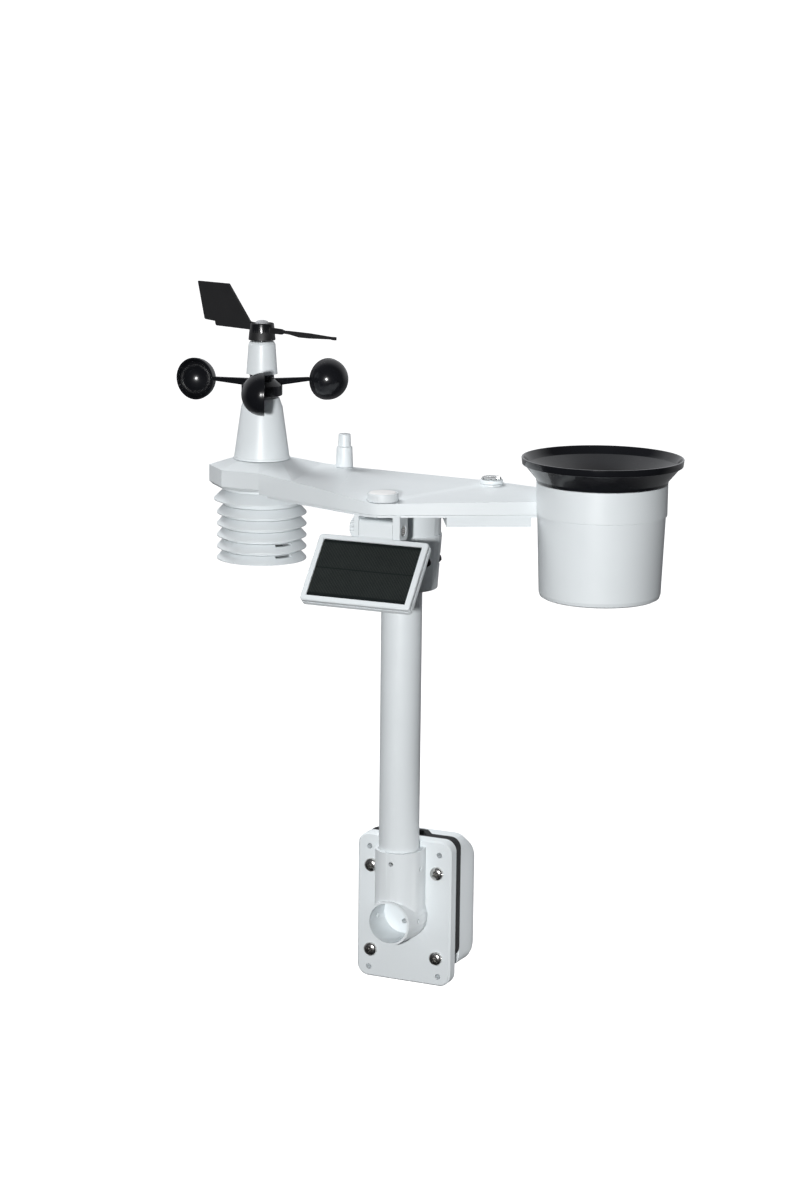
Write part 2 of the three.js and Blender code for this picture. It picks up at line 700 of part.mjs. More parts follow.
function upperCone() {
  return closed(atTower(turned([
    [11.7, 399.9], [11.4, 401], [9.9, 421.6], [9, 423.4], [8.4, 423.8], [VANE_PIN_R + 0.1, 423.8],
    [VANE_PIN_R + 0.1, POST.top + GAP], [POST.r + 0.15, POST.top + GAP], [POST.r + 0.15, 403],
    [10, 399.9],
  ], 24)));
}

// Hub, tail fin and pointer in one moulding.
function vane() {
  const { hubBottom, hubTop, hubBottomR, hubTopR, bladeThick } = VANE;
  const hub = turned([
    [0, hubBottom], [hubBottomR, hubBottom], [hubBottomR, hubBottom + 1], [hubTopR, hubTop - 0.5],
    [hubTopR - 0.4, hubTop], [0, hubTop],
  ], 36);
  const half = bladeThick / 2;
  const tail = upright(shapeOf([
    [-6, 431.2], [-48.8, 431], [-50, 431.8], [-50.6, 434.2], [-61.4, 434.7], [-62.4, 435.5],
    [-69.8, 462.6], [-36.1, 463.1], [-12.9, 437.2], [-6, 436.4],
  ]), -half, half);
  const pointer = upright(shapeOf([
    [6, 430.2], [21.5, 430.4], [23, 431.4], [30, 431.2], [40, 430], [50, 430.2], [73.5, 431.6],
    [74, 431.3], [77.7, 431.3], [77.7, 433.6], [74, 433.6], [73.5, 433.4], [50, 434], [30, 433.8],
    [24, 433.6], [21, 434.4], [6, 434.6],
  ]), -half * 0.8, half * 0.8);
  const whole = cut(
    union(hub, tail, pointer),
    barZ(VANE_PIN_R + 0.1, hubBottom - 3, hubTop - 2.5),
    barZ(5.2, hubTop - 0.8, hubTop + 5, 24),
  );
  return asGeometry(whole).rotateZ(degrees(VANE.angle)).translate(TOWER_X, 0, 0);
}

function vaneCap() {
  const z = VANE.hubTop - 0.5;
  return closed(atTower(turned([
    [0, z], [4.9, z], [4.9, z + 1.4], [4.2, z + 2.6], [2.5, z + 3.5], [0, z + 3.8],
  ], 18)));
}

function vaneShaft() {
  return closed(atTower(barZ(VANE_PIN_R, 416, VANE.hubTop - 2.8)));
}

// ---------------------------------------------------------------- radiation shield

// Conical skirts on a stack of rings; the two lowest rings are slotted towards the mast.
function louvre(i) {
  const tip = LOUVRE.lowestTip + i * LOUVRE.pitch;
  const isTop = i === LOUVRE.count - 1;
  const tipR = isTop ? LOUVRE.topTipR : LOUVRE.tipR;
  const { neckR, boreR, pitch } = LOUVRE;
  const zTip = isTop ? tip + 1.6 : tip;
  const top = isTop ? FLOOR.bottom - GAP : tip + pitch - 2.3;
  const foot = i === 0 ? tip + 2.7 : tip - 2;
  const under = i === 0 ? tip + 4.2 : zTip + 4;
  const body = solid(atTower(turned([
    [boreR, foot], [neckR, foot], [neckR, under], [tipR - 1.1, zTip], [tipR, zTip],
    [tipR, zTip + 0.9], [neckR, top], [boreR, top],
  ], 28)));
  if (i !== 1 && i !== 2) return asGeometry(body);
  const slots = [-32, -16, 0, 16].map((a) => block([20, 40], [-3, 3], [tip - 1.5, tip - 0.1])
    .rotateZ(degrees(a))
    .translate(TOWER_X, 0, 0));
  return asGeometry(cut(body, ...slots));
}

function shieldBase() {
  const z = LOUVRE.lowestTip + 0.4;
  const disc = turned([[0, z], [28, z], [28, z + 2], [0, z + 2]], 32);
  const holes = [-1, 1].map((s) => barZ(1.7, z - 2, z + 6, 12).translate(0, s * ROD_ORBIT, 0));
  const vents = [30, 90, 150, 210, 270, 330]
    .map((a) => block([7, 17], [-1.2, 1.2], [z - 2, z + 6]).rotateZ(degrees(a)));
  return asGeometry(cut(solid(disc), ...holes, ...vents)).translate(TOWER_X, 0, 0);
}

function tieRod(s) {
  const z = LOUVRE.lowestTip;
  return closed(atTower(turned([
    [0, z - 1.6], [2.8, z - 1.6], [2.8, z + 0.1], [1.4, z + 0.1], [1.4, 319.5], [0, 319.5],
  ], 14).translate(0, s * ROD_ORBIT, 0)));
}

function humidityProbe() {
  return closed(atTower(turned([[0, 272], [4.6, 272], [6, 274], [6, 316], [0, 316]], 16)));
}

// ---------------------------------------------------------------- solar panel

// The panel is drawn hanging straight down from the hinge and then swung forward by its tilt.
function atHinge(geometry) {
  return geometry.rotateX(-PANEL.tilt).translate(0, HINGE.y, HINGE.z);
}

function solarHousing() {
  const { x, width, height, thick, drop, front } = PANEL;
  const left = x - width / 2;
  const right = x + width / 2;
  const face = roundedRectangle(left, right, -drop - height, -drop, 2.5);
  const tray = upright(face, front, front + thick, 0.6);
  const knuckle = hingeBar(KNUCKLE).rotateX(PANEL.tilt);
  const web = block(KNUCKLE, [-2.2, 5.4], [-drop - 2, -2]);
  const zMid = -drop - height / 2;
  const recess = block(
    [x - CELL.width / 2 - GAP, x + CELL.width / 2 + GAP],
    [front - 3, front + CELL.depth + GAP],
    [zMid - CELL.height / 2 - GAP, zMid + CELL.height / 2 + GAP],
  );
  const seam = asGeometry(cut(
    solid(block([left - 1, right + 1], [front + 3.2, front + 3.9], [-drop - height - 1, -drop + 1])),
    block([left + 0.6, right - 0.6], [front, front + 6], [-drop - height + 0.6, -drop + 5]),
  ));
  return atHinge(asGeometry(cut(
    union(tray, knuckle, web),
    recess,
    seam,
    barX(HINGE.screwR + 0.1, -30, 40),
  )));
}

function solarCell() {
  const { x, height, drop, front } = PANEL;
  const zMid = -drop - height / 2;
  return atHinge(closed(block(
    [x - CELL.width / 2, x + CELL.width / 2],
    [front + 0.4, front + CELL.depth],
    [zMid - CELL.height / 2, zMid + CELL.height / 2],
  )));
}

function hingeScrew() {
  const right = RIGHT_EAR[1];
  return closed(turned([
    [0, -11.7], [HINGE.screwR, -11.7], [HINGE.screwR, right - 2.2], [3.9, right - 2.2], [3.9, right - 0.6],
    [3.2, right], [0, right],
  ], SMALL).rotateY(Math.PI / 2)).translate(0, HINGE.y, HINGE.z);
}

// Toothed nut on the left end of the hinge.
function hingeNut() {
  const { low, high, r, teeth } = HINGE_NUT;
  const points = [];
  for (let i = 0; i < teeth * 2; i += 1) {
    const reach = i % 2 === 0 ? r : r - 0.9;
    const a = (i / (teeth * 2)) * 2 * Math.PI;
    points.push([reach * Math.cos(a), reach * Math.sin(a)]);
  }
  const disc = raised(shapeOf(points), low, high).rotateY(Math.PI / 2);
  return asGeometry(cut(solid(disc), barX(HINGE.screwR + 0.15, -30, 0))).translate(0, HINGE.y, HINGE.z);
}

// ---------------------------------------------------------------- rain gauge

function gaugeBody() {
  const { topR, bottomR, footR, bottom, top, wall } = GAUGE;
  const shell = turned([
    [0, bottom], [footR, bottom], [footR + 1.9, bottom + 1], [bottomR, bottom + 3.5], [topR, top],
    [SPIGOT.r, top], [SPIGOT.r, SPIGOT.top], [SPIGOT.bore, SPIGOT.top], [SPIGOT.bore, top - 3],
    [topR - wall - 0.3, top - 6], [bottomR - wall, bottom + 5], [footR - 1, bottom + wall],
    [0, bottom + wall],
  ], 40);
  const posts = [-1, 1].map((s) => block([-4, 4], [s * 15 - 2, s * 15 + 2], [bottom + 1, BUCKET_Z + 4]));
  const drains = [-1, 1].flatMap((s) => [12, 20].map(
    (x) => block([s * x - 1.5, s * x + 1.5], [-12, 12], [bottom - 2, bottom + 4]),
  ));
  return asGeometry(cut(
    union(shell, ...posts),
    ...drains,
    barY(1.35, -25, 25, 12).translate(0, 0, BUCKET_Z),
  )).translate(GAUGE_X, 0, 0);
}

function funnel() {
  return closed(atGauge(turned([
    [57.2, 357.3], [55.5, 357.3], [55.2, 353.4], [53.4, 351.6], [4.2, 324], [4.2, 317.5], [6, 317.5],
    [6, 322.6], [41, 342.2], [41, 331], [42.9, 331], [42.9, 339.9], [46.3, 339.9], [46.6, 342],
    [55.2, 352.2], [56.6, 352.3],
  ], 40)));
}

// Twin trough on a pin, tipped to one side.
function tippingBucket() {
  const outline = shapeOf([
    [-27, 299.5], [0, 291.5], [27, 299.5], [27, 306.5], [1, 313.5], [-1, 313.5], [-27, 306.5],
  ]);
  const half = 11;
  const wall = 1.4;
  const pocket = (s) => {
    const hollow = shapeOf([[s * 0.9, 293.5], [s * 30, 302.1], [s * 30, 320], [s * 0.9, 320]]);
    return upright(hollow, wall - half, half - wall);
  };
  const trough = union(upright(outline, -half, half), barY(3.2, -12.4, 12.4).translate(0, 0, BUCKET_Z));
  return asGeometry(cut(trough, pocket(1), pocket(-1), barY(1.3, -30, 30, 12).translate(0, 0, BUCKET_Z)))
    .translate(0, 0, -BUCKET_Z)
    .rotateY(BUCKET_TILT)
    .translate(GAUGE_X, 0, BUCKET_Z);
}

function bucketPin() {
  return closed(barY(1.2, -17.5, 17.5, 12).translate(GAUGE_X, 0, BUCKET_Z));
}

// ---------------------------------------------------------------- assembly

const group = new THREE.Group();
group.name = 'weather_station';

function add(name, colour, geometry) {
  const mesh = new THREE.Mesh(geometry, new THREE.MeshStandardMaterial(COLOURS[colour]));
  mesh.name = name;
  group.add(mesh);
}

add('stand', 'white', stand());
add('stand_pad', 'rubber', standPad());
add('clamp_plate', 'white', clampPlate());
add('clamp_pad', 'rubber', clampPad());
CORNERS.forEach(([sx, sz], i) => {
  add(`bolt_${i + 1}`, 'steel', bolt(sx, sz));
  add(`bolt_nut_${i + 1}`, 'steel', boltNut(sx, sz));
});
add('mast', 'white', mast());

add('upper_shell', 'white', upperShell());
add('lower_shell', 'white', lowerShell());
add('collar_rear', 'white', collarRear());
[-1, 1].forEach((s, i) => {
  add(`collar_screw_${i + 1}`, 'darkSteel', collarScrew(s));
  add(`collar_nut_${i + 1}`, 'darkSteel', collarNut(s));
});
add('antenna', 'white', antenna());
add('uv_housing', 'white', uvHousing());
add('uv_diffuser', 'diffuser', uvDiffuser());
add('level_housing', 'grey', levelHousing());
add('level_vial', 'clear', levelVial());
[0, 1, 2].forEach((i) => add(`battery_${i + 1}`, 'battery', battery(i)));
add('battery_door', 'white', batteryDoor());
add('reset_button', 'grey', resetButton());
add('main_board', 'board', mainBoard());

add('lower_cone', 'white', lowerCone());
add('tower_post', 'steel', towerPost());
add('rotor_hub', 'black', rotorHub());
[0, 1, 2].forEach((i) => add(`cup_${i + 1}`, 'black', cup(i)));
add('upper_cone', 'white', upperCone());
add('vane', 'black', vane());
add('vane_cap', 'grey', vaneCap());
add('vane_shaft', 'steel', vaneShaft());

for (let i = 0; i < LOUVRE.count; i += 1) {
  add(`louvre_${i + 1}`, 'white', louvre(i));
}
add('shield_base', 'white', shieldBase());
[-1, 1].forEach((s, i) => add(`tie_rod_${i + 1}`, 'steel', tieRod(s)));
add('humidity_probe', 'grey', humidityProbe());

add('solar_housing', 'white', solarHousing());
add('solar_cell', 'cell', solarCell());
add('hinge_screw', 'steel', hingeScrew());
add('hinge_nut', 'white', hingeNut());

add('gauge_body', 'white', gaugeBody());
add('funnel', 'black', funnel());
add('tipping_bucket', 'black', tippingBucket());
add('bucket_pin', 'steel', bucketPin());

group.position.set(0, -POLE_GROOVE.floor, 0);

export default group;
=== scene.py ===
"""Home weather station: the visible pieces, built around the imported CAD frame.

Everything is in metres in the row frame. Sizes written here are millimetres and go through mm().
A piece made here takes its place from the CAD node it replaces, and rides on that node's body.
"""

import json
import math

import bmesh
import bpy
from mathutils import Matrix, Vector


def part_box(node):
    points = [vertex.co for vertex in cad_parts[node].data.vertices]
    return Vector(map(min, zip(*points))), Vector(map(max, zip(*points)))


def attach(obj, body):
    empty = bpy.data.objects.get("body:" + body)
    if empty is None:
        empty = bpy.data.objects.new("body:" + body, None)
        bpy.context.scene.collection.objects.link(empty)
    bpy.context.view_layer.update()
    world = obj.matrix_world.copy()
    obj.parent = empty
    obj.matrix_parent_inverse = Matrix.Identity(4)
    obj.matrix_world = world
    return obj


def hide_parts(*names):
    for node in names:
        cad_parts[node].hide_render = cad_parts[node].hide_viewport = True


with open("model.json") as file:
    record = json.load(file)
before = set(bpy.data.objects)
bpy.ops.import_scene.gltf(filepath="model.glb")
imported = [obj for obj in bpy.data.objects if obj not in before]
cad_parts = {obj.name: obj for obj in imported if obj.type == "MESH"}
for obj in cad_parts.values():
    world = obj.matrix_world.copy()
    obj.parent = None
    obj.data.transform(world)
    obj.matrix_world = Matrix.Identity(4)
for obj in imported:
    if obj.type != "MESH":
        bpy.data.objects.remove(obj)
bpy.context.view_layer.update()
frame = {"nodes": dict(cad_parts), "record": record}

RECORD = frame["record"]
BODY_OF = {node: body for body, nodes in RECORD["behaviour"]["bodies"].items() for node in nodes}
SLOT_OF = {part["node"]: part["material_slot"] for part in RECORD["subparts"]}
ROUND = 96                      # sides on a turned piece


def mm(value):
    return value / 1000.0


# ---------------------------------------------------------------- camera, lights, floor

CAMERA_AT = Vector((0.8279, -1.9242, 0.6767))
CAMERA_AZIMUTH = math.radians(23.594)
CAMERA_PITCH = math.radians(11.882)
CAMERA_ROLL = math.radians(0.654)
LENS_MM = 87
FLOOR_Z = -0.36
FLOOR_SIZE = 2000               # large enough for its edge to lie on the horizon


def add_camera():
    data = bpy.data.cameras.new("camera")
    data.sensor_fit = "AUTO"
    data.sensor_width = 36
    data.lens = LENS_MM
    camera = bpy.data.objects.new("camera", data)
    bpy.context.scene.collection.objects.link(camera)
    turn = Matrix.Rotation(CAMERA_AZIMUTH, 4, "Z")
    tip = Matrix.Rotation(math.pi / 2 - CAMERA_PITCH, 4, "X")
    roll = Matrix.Rotation(CAMERA_ROLL, 4, "Z")
    camera.matrix_world = Matrix.Translation(CAMERA_AT) @ turn @ tip @ roll
    bpy.context.scene.camera = camera


def aimed_light(data, place, target):
    light = bpy.data.objects.new(data.name, data)
    bpy.context.scene.collection.objects.link(light)
    light.location = place
    aim = Vector(target) - Vector(place)
    light.rotation_euler = aim.to_track_quat("-Z", "Y").to_euler()
    return light


def add_area_light(name, place, target, size, power):
    data = bpy.data.lights.new(name, "AREA")
    data.shape = "DISK"
    data.size = size
    data.energy = power
    return aimed_light(data, place, target)


def add_spot(name, place, target, spread, power):
    """A narrow light with a soft edge; spread is its full angle in degrees."""
    data = bpy.data.lights.new(name, "SPOT")
    data.spot_size = math.radians(spread)
    data.spot_blend = 0.6
    data.shadow_soft_size = 0.05
    data.energy = power
    return aimed_light(data, place, target)


# A colour mix node's sockets, which share their names with its number and vector sockets.
MIX_FIRST, MIX_SECOND, MIX_RESULT = 6, 7, 2
BEHIND_FROM = 0.45              # how far round towards the backdrop its full brightness starts
BELOW_SHARE = 0.3               # what is left of the room's light in directions well below level


def add_world(front, behind):
    """A dim room in front, a brighter backdrop behind, darker below; white where the camera sees it."""
    world = bpy.data.worlds.new("studio")
    bpy.context.scene.world = world
    world.use_nodes = True
    tree = world.node_tree
    place = tree.nodes.new("ShaderNodeTexCoord").outputs["Generated"]

    along = tree.nodes.new("ShaderNodeVectorMath")
    along.operation = "DOT_PRODUCT"
    along.inputs[1].default_value = (-math.sin(CAMERA_AZIMUTH), math.cos(CAMERA_AZIMUTH), 0)
    tree.links.new(place, along.inputs[0])
    ramp = tree.nodes.new("ShaderNodeValToRGB")
    near, far = ramp.color_ramp.elements
    near.color = (*front, 1)
    near.position = 0.0
    far.color = (*behind, 1)
    far.position = BEHIND_FROM
    tree.links.new(along.outputs["Value"], ramp.inputs[0])

    upward = tree.nodes.new("ShaderNodeSeparateXYZ")
    tree.links.new(place, upward.inputs[0])
    lit = tree.nodes.new("ShaderNodeMapRange")
    lit.inputs["From Min"].default_value = -0.25
    lit.inputs["From Max"].default_value = 0.1
    lit.inputs["To Min"].default_value = BELOW_SHARE
    tree.links.new(upward.outputs["Z"], lit.inputs["Value"])
    dimmed = tree.nodes.new("ShaderNodeVectorMath")
    dimmed.operation = "SCALE"
    tree.links.new(ramp.outputs[0], dimmed.inputs[0])
    tree.links.new(lit.outputs[0], dimmed.inputs["Scale"])

    seen = tree.nodes.new("ShaderNodeLightPath")
    mix = tree.nodes.new("ShaderNodeMix")
    mix.data_type = "RGBA"
    mix.inputs[MIX_SECOND].default_value = (1, 1, 1, 1)
    tree.links.new(seen.outputs["Is Camera Ray"], mix.inputs["Factor"])
    tree.links.new(dimmed.outputs[0], mix.inputs[MIX_FIRST])
    tree.links.new(mix.outputs[MIX_RESULT], tree.nodes["Background"].inputs["Color"])


def add_floor():
    """A pale sweep that the camera sees but that throws no light of its own onto the object."""
    bpy.ops.mesh.primitive_plane_add(size=FLOOR_SIZE, location=(0, 0, FLOOR_Z))
    floor = bpy.context.object
    floor.name = "floor"
    floor.visible_diffuse = False
    floor.visible_glossy = False
    material = bpy.data.materials.new("pale_floor")
    material.use_nodes = True
    shader = material.node_tree.nodes["Principled BSDF"]
    shader.inputs["Base Color"].default_value = (0.5, 0.5, 0.5, 1)
    shader.inputs["Roughness"].default_value = 0.9
    shader.inputs["Emission Color"].default_value = (1, 1, 1, 1)
    shader.inputs["Emission Strength"].default_value = 0.97
    floor.data.materials.append(material)


def add_studio():
    middle = (0.02, -0.03, 0.28)
    add_camera()
    add_world((0.05, 0.05, 0.053), (0.62, 0.63, 0.65))
    add_area_light("flash", (0.57, -1.95, 0.60), middle, 0.10, 37)
    overhead = add_area_light("overhead", (-1.4, 0.6, 2.1), middle, 1.2, 44)
    overhead.visible_glossy = False
    add_spot("low_side", (1.5, 0.35, -0.15), centre("clamp_plate"), 7, 32)
    add_floor()


# ---------------------------------------------------------------- materials

class Nodes:
    """A material's nodes, with the shader at the end of them."""

    def __init__(self, name):
        self.material = bpy.data.materials.new(name)
        self.material.use_nodes = True
        self.tree = self.material.node_tree
        self.shader = self.tree.nodes["Principled BSDF"]
        self.place = self.tree.nodes.new("ShaderNodeTexCoord").outputs["Object"]

    def set(self, **values):
        for key, value in values.items():
            self.shader.inputs[key.replace("_", " ")].default_value = value
        return self

    def join(self, output, target):
        self.tree.links.new(output, target)

    def noise(self, size_mm, detail=2.0, stretch=(1, 1, 1)):
        """Soft noise from 0 to 1 whose features are about size_mm across."""
        mapping = self.tree.nodes.new("ShaderNodeMapping")
        mapping.inputs["Scale"].default_value = stretch
        texture = self.tree.nodes.new("ShaderNodeTexNoise")
        texture.inputs["Scale"].default_value = 1 / mm(size_mm)
        texture.inputs["Detail"].default_value = detail
        self.join(self.place, mapping.inputs["Vector"])
        self.join(mapping.outputs[0], texture.inputs["Vector"])
        return texture.outputs["Fac"]

    def remap(self, source, low, high):
        """Carries the middle of a noise, from 0.3 to 0.7, onto the range low to high."""
        node = self.tree.nodes.new("ShaderNodeMapRange")
        node.inputs["From Min"].default_value = 0.3
        node.inputs["From Max"].default_value = 0.7
        node.inputs["To Min"].default_value = low
        node.inputs["To Max"].default_value = high
        self.join(source, node.inputs["Value"])
        return node.outputs[0]

    def blend(self, factor, first, second):
        """The colour first where factor is 0 and second where it is 1; either may be an output."""
        node = self.tree.nodes.new("ShaderNodeMix")
        node.data_type = "RGBA"
        self.join(factor, node.inputs["Factor"])
        for value, socket in ((first, node.inputs[MIX_FIRST]), (second, node.inputs[MIX_SECOND])):
            if isinstance(value, tuple):
                socket.default_value = (*value, 1)
            else:
                self.join(value, socket)
        return node.outputs[MIX_RESULT]

    def sum(self, first, second, operation="ADD"):
        node = self.tree.nodes.new("ShaderNodeMath")
        node.operation = operation
        for value, socket in ((first, node.inputs[0]), (second, node.inputs[1])):
            if isinstance(value, (int, float)):
                socket.default_value = value
            else:
                self.join(value, socket)
        return node.outputs[0]

    def axis(self, letter):
        """One coordinate of the surface point in the piece's own frame, in metres."""
        node = self.tree.nodes.new("ShaderNodeSeparateXYZ")
        self.join(self.place, node.inputs[0])
        return node.outputs[letter]

    def stripes(self, letter, pitch_mm, share):
        """1 on thin lines across an axis, once every pitch_mm and share of it wide; else 0."""
        turns = self.sum(self.axis(letter), 1 / mm(pitch_mm), "MULTIPLY")
        phase = self.sum(turns, 0.0, "FRACT")
        return self.sum(phase, share, "LESS_THAN")

    def colour(self, output):
        self.join(output, self.shader.inputs["Base Color"])

    def roughness(self, output):
        self.join(output, self.shader.inputs["Roughness"])

    def bump(self, height, depth_mm):
        node = self.tree.nodes.new("ShaderNodeBump")
        node.inputs["Strength"].default_value = 1.0
        node.inputs["Distance"].default_value = mm(depth_mm)
        self.join(height, node.inputs["Height"])
        self.join(node.outputs[0], self.shader.inputs["Normal"])


def moulded_plastic(name, colour, gloss, grain_mm=0.45, grain_depth=0.012, tint=0.94):
    """Injection-moulded plastic: fine spark-eroded grain, slow changes in tone and sheen."""
    n = Nodes(name)
    darker = tuple(c * tint for c in colour)
    tone = n.remap(n.noise(38, 3), 0, 1)
    n.colour(n.blend(tone, colour, darker))
    n.roughness(n.remap(n.noise(9, 4), gloss - 0.05, gloss + 0.07))
    n.bump(n.noise(grain_mm, 3), grain_depth)
    n.set(IOR=1.49)
    return n


def glossy_plastic(name, colour):
    """Polished black moulding under a clear skin."""
    n = moulded_plastic(name, colour, 0.14, grain_depth=0.002, tint=1.5)
    n.set(Coat_Weight=0.4, Coat_Roughness=0.06)
    return n


def turned_metal(name, colour, roughness, turning=True):
    """Plated or ground metal, with faint marks left by turning or drawing."""
    n = Nodes(name).set(Metallic=1.0)
    n.colour(n.blend(n.noise(1.2, 3), colour, tuple(c * 0.86 for c in colour)))
    n.roughness(n.remap(n.noise(0.7, 4), roughness, roughness + 0.12))
    stretch = (1, 0.08, 1) if turning else (1, 1, 0.05)
    n.bump(n.noise(0.25, 2, stretch), 0.004)
    return n


def rubber(name):
    n = Nodes(name)
    n.colour(n.blend(n.noise(6, 3), (0.014, 0.015, 0.017), (0.024, 0.025, 0.027)))
    n.roughness(n.remap(n.noise(3, 4), 0.68, 0.86))
    n.bump(n.noise(0.6, 4), 0.05)
    return n


def clear_plastic(name, colour):
    n = Nodes(name).set(Transmission_Weight=1.0, IOR=1.45)
    n.colour(n.blend(n.noise(5, 2), colour, tuple(c * 0.96 for c in colour)))
    n.roughness(n.remap(n.noise(2, 2), 0.02, 0.06))
    return n


def diffuser_disc(name):
    """Translucent white disc that spreads light onto the sensor under it."""
    n = Nodes(name).set(Subsurface_Weight=0.35, Subsurface_Radius=(0.004, 0.004, 0.004))
    n.colour(n.blend(n.noise(4, 2), (0.93, 0.93, 0.92), (0.88, 0.88, 0.88)))
    n.roughness(n.remap(n.noise(1, 3), 0.4, 0.5))
    n.bump(n.noise(0.3, 2), 0.008)
    return n


def solar_cell(name):
    """Dark silicon behind clear resin: fine upright fingers, a seam between the two rows of cells."""
    n = Nodes(name).set(Coat_Weight=0.2, Coat_Roughness=0.12, Specular_IOR_Level=0.3)
    silicon = n.blend(n.remap(n.noise(7, 3), 0, 1), (0.006, 0.008, 0.008), (0.010, 0.013, 0.012))
    fingers = n.stripes("X", 1.15, 0.26)
    height = n.axis("Z")
    in_margin = n.sum(n.sum(height, 0.0, "ABSOLUTE"), CELL_MARGIN, "GREATER_THAN")
    in_seam = n.sum(n.sum(height, 0.0, "ABSOLUTE"), mm(0.45), "LESS_THAN")
    bare = n.sum(in_margin, in_seam, "MAXIMUM")
    lined = n.blend(fingers, silicon, (0.046, 0.054, 0.052))
    n.colour(n.blend(bare, lined, (0.006, 0.009, 0.009)))
    n.roughness(n.remap(n.noise(1.5, 3), 0.34, 0.44))
    return n


def battery_sleeve(name):
    """Printed shrink sleeve: a dark band, a pale band, and bare metal at the button."""
    n = Nodes(name).set(Metallic=0.35)
    split = n.sum(n.axis("Z"), mm(6), "GREATER_THAN")
    band = n.blend(split, (0.02, 0.05, 0.13), (0.50, 0.42, 0.20))
    n.colour(n.blend(n.noise(8, 2), band, (0.04, 0.06, 0.10)))
    n.roughness(n.remap(n.noise(4, 2), 0.22, 0.32))
    return n


def circuit_board(name):
    n = Nodes(name)
    tracks = n.sum(n.stripes("X", 3.2, 0.3), n.stripes("Y", 4.1, 0.3), "MAXIMUM")
    n.colour(n.blend(tracks, (0.012, 0.13, 0.05), (0.02, 0.20, 0.08)))
    n.roughness(n.remap(n.noise(3, 2), 0.3, 0.45))
    n.bump(tracks, 0.03)
    return n


CELL_MARGIN = mm(20.3)          # past this height from the middle, the cell has no fingers

WHITE = (0.785, 0.83, 0.85)
BLACK = (0.006, 0.0065, 0.008)

MATERIALS = {
    "white_plastic": moulded_plastic("white_plastic", WHITE, 0.36, tint=0.975),
    "black_plastic": moulded_plastic("black_plastic", BLACK, 0.2, grain_depth=0.004, tint=1.5),
    "black_gloss": glossy_plastic("black_gloss", BLACK),
    "black_satin": moulded_plastic("black_satin", (0.012, 0.012, 0.013), 0.5, grain_depth=0.03, tint=1.3),
    "rubber": rubber("rubber"),
    "chrome": turned_metal("chrome", (0.72, 0.71, 0.69), 0.19),
    "dark_steel": turned_metal("dark_steel", (0.05, 0.05, 0.055), 0.35),
    "steel": turned_metal("steel", (0.60, 0.60, 0.61), 0.28, turning=False),
    "grey_plastic": moulded_plastic("grey_plastic", (0.42, 0.43, 0.45), 0.32),
    "clear_plastic": clear_plastic("clear_plastic", (0.97, 0.98, 0.975)),
    "diffuser": diffuser_disc("diffuser"),
    "solar_glass": solar_cell("solar_glass"),
    "battery": battery_sleeve("battery"),
    "circuit_board": circuit_board("circuit_board"),
}


# ---------------------------------------------------------------- mesh helpers

def centre(node):
    low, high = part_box(node)
    return (low + high) / 2


def new_piece(name, bm, sharp_degrees=32):
    """A smooth-shaded object from bm, with its creases kept sharp."""
    bmesh.ops.remove_doubles(bm, verts=bm.verts, dist=1e-7)
    bmesh.ops.recalc_face_normals(bm, faces=bm.faces)
    for face in bm.faces:
        face.smooth = True
    mesh = bpy.data.meshes.new(name)
    bm.to_mesh(mesh)
    bm.free()
    mesh.set_sharp_from_angle(angle=math.radians(sharp_degrees))
    piece = bpy.data.objects.new(name, mesh)
    bpy.context.scene.collection.objects.link(piece)
    return piece


def rounded(points, radius, closed=True, steps=3):
    """The outline with each corner turned into a short arc; points on the axis stay as they are."""
    count = len(points)
    out = []
    for i, (x, y) in enumerate(points):
        at_end = not closed and i in (0, count - 1)
        before = Vector(points[i - 1]) - Vector((x, y))
        after = Vector(points[(i + 1) % count]) - Vector((x, y))
        if at_end or before.length < 1e-9 or after.length < 1e-9:
            out.append((x, y))
            continue
        half = before.angle(after) / 2
        if half > math.radians(82):
            out.append((x, y))
            continue
        reach = min(radius / math.tan(half), 0.45 * before.length, 0.45 * after.length)
        start = Vector((x, y)) + before.normalized() * reach
        end = Vector((x, y)) + after.normalized() * reach
        for k in range(steps + 1):
            t = k / steps
            a = start.lerp(Vector((x, y)), t)
            b = Vector((x, y)).lerp(end, t)
            out.append(tuple(a.lerp(b, t)))
    return out


def lathe_mesh(profile, segments=ROUND, corner=0.25):
    """A bmesh turned about Z from (radius, height) points in mm.
    A profile that starts and ends on the axis is open there; any other profile is a closed loop."""
    on_axis = profile[0][0] == 0 and profile[-1][0] == 0
    outline = rounded(profile, corner, closed=not on_axis)
    bm = bmesh.new()
    rings = []
    for r, z in outline:
        if r < 1e-6:
            rings.append([bm.verts.new((0, 0, mm(z)))])
            continue
        turn = [2 * math.pi * k / segments for k in range(segments)]
        rings.append([bm.verts.new((mm(r) * math.cos(a), mm(r) * math.sin(a), mm(z))) for a in turn])
    pairs = list(zip(rings, rings[1:])) + ([] if on_axis else [(rings[-1], rings[0])])
    for low, high in pairs:
        for k in range(segments):
            j = (k + 1) % segments
            corners = [low[k % len(low)], low[j % len(low)], high[j % len(high)], high[k % len(high)]]
            unique = list(dict.fromkeys(corners))
            if len(unique) > 2:
                bm.faces.new(unique)
    return bm


# The turn that lays a piece made along Z along another axis.
ALONG = {
    "X": Matrix.Rotation(math.pi / 2, 4, "Y"),
    "Y": Matrix.Rotation(-math.pi / 2, 4, "X"),
    "Z": Matrix(),
}


def lathe(name, profile, place=(0, 0, 0), axis="Z", segments=ROUND, corner=0.25):
    """A turned piece; its profile's heights run along axis from place."""
    bm = lathe_mesh(profile, segments, corner)
    bm.transform(ALONG[axis])
    piece = new_piece(name, bm)
    piece.location = place
    return piece


